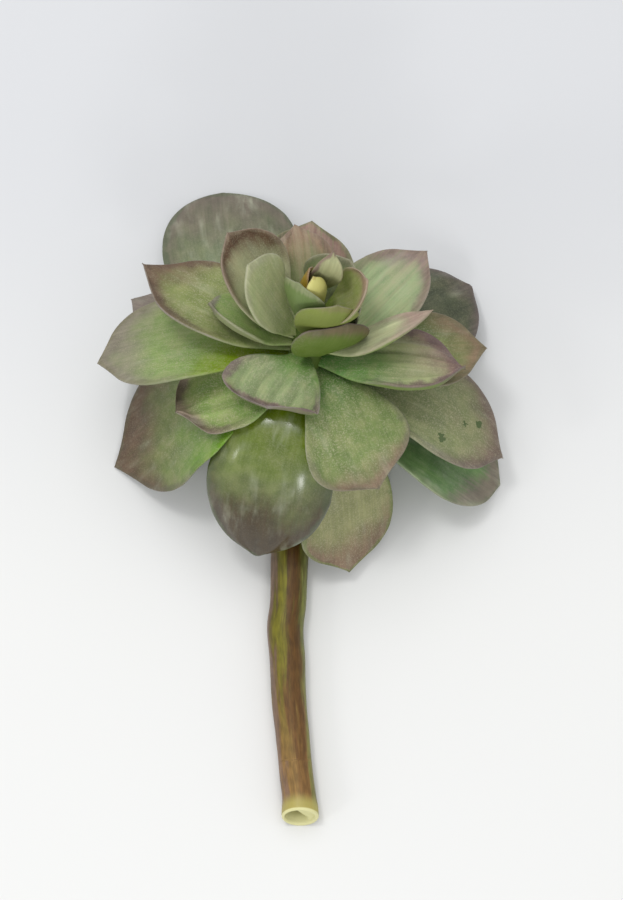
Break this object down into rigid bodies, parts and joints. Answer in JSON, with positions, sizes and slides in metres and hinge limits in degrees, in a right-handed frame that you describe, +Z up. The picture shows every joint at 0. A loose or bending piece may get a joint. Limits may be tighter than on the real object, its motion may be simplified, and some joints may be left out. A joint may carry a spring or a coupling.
{
  "type": "cut echeveria rosette",
  "caption": "Cut lipstick echeveria: an open rosette of broad pointed fleshy leaves on a short bare stem with a slanted hollow cut end, lying on its side.",
  "frame": {"origin": "middle of the plant's bounding box in plan, on the surface it lies on", "axes": "+Z up from the surface, +Y along the lying stem from its cut end toward the rosette, +X to the right when the rosette is seen from above with the stem toward the viewer"},
  "size_m": [0.1106, 0.1774, 0.079],
  "materials": {
    "stem_bark": "satin, streaked lengthwise in olive and red-brown",
    "outer_leaf": "satin green with dusty mauve-brown tips and rims",
    "middle_leaf": "matte powdery sage green with grey-lilac rims",
    "inner_leaf": "matte powdery sage green with mauve rims",
    "heart": "matte pale yellow-green"
  },
  "bodies": {
    "root": {"heart": "heart", "inner_leaf_1": "inner_leaf", "inner_leaf_2": "inner_leaf", "inner_leaf_3": "inner_leaf", "inner_leaf_4": "inner_leaf", "inner_leaf_5": "inner_leaf", "inner_leaf_6": "inner_leaf", "inner_leaf_7": "inner_leaf", "middle_leaf_1": "middle_leaf", "middle_leaf_10": "middle_leaf", "middle_leaf_11": "middle_leaf", "middle_leaf_12": "middle_leaf", "middle_leaf_2": "middle_leaf", "middle_leaf_3": "middle_leaf", "middle_leaf_4": "middle_leaf", "middle_leaf_5": "middle_leaf", "middle_leaf_6": "middle_leaf", "middle_leaf_7": "middle_leaf", "middle_leaf_8": "middle_leaf", "middle_leaf_9": "middle_leaf", "outer_leaf_1": "outer_leaf", "outer_leaf_10": "outer_leaf", "outer_leaf_2": "outer_leaf", "outer_leaf_3": "outer_leaf", "outer_leaf_4": "outer_leaf", "outer_leaf_5": "outer_leaf", "outer_leaf_6": "outer_leaf", "outer_leaf_7": "outer_leaf", "outer_leaf_8": "outer_leaf", "outer_leaf_9": "outer_leaf", "stem": "stem_bark"}
  },
  "joints": []
}
